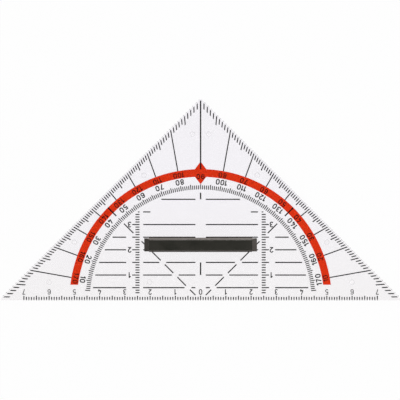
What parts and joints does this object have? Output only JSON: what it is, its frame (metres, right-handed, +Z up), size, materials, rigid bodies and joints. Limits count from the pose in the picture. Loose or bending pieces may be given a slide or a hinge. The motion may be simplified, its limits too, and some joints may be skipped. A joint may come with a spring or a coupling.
{
  "type": "geometry triangle",
  "caption": "Clear right-angled set square with a printed protractor, ruler, parallel lines and height scales, and a lift-off black handle.",
  "frame": {"origin": "zero mark in the middle of the ruling edge, at the level of the paper that the pips stand on", "axes": "+X along the ruling edge to the right, +Y to the right-angled corner, +Z up out of the paper, towards the handle"},
  "size_m": [0.1584, 0.0798, 0.0114],
  "materials": {
    "clear_plastic": "polished clear",
    "moulded_black": "satin moulded",
    "black_ink": "screen-printed",
    "red_ink": "screen-printed"
  },
  "bodies": {
    "plate": {"plate": "clear_plastic", "edge_ruler": "black_ink", "leg_scale_left": "black_ink", "leg_scale_right": "black_ink", "degree_rays": "black_ink", "degree_ring": "black_ink", "red_band": "red_ink", "parallel_lines": "black_ink", "diagonal_left": "black_ink", "diagonal_right": "black_ink", "height_scale_left": "black_ink", "height_scale_right": "black_ink", "centre_marks": "black_ink"},
    "handle": {"handle": "moulded_black"}
  },
  "joints": [
    {"name": "handle_lift", "type": "slide", "parent": "plate", "child": "handle", "axis": [0, 0, 1], "range_m": [0, 0.015]}
  ]
}
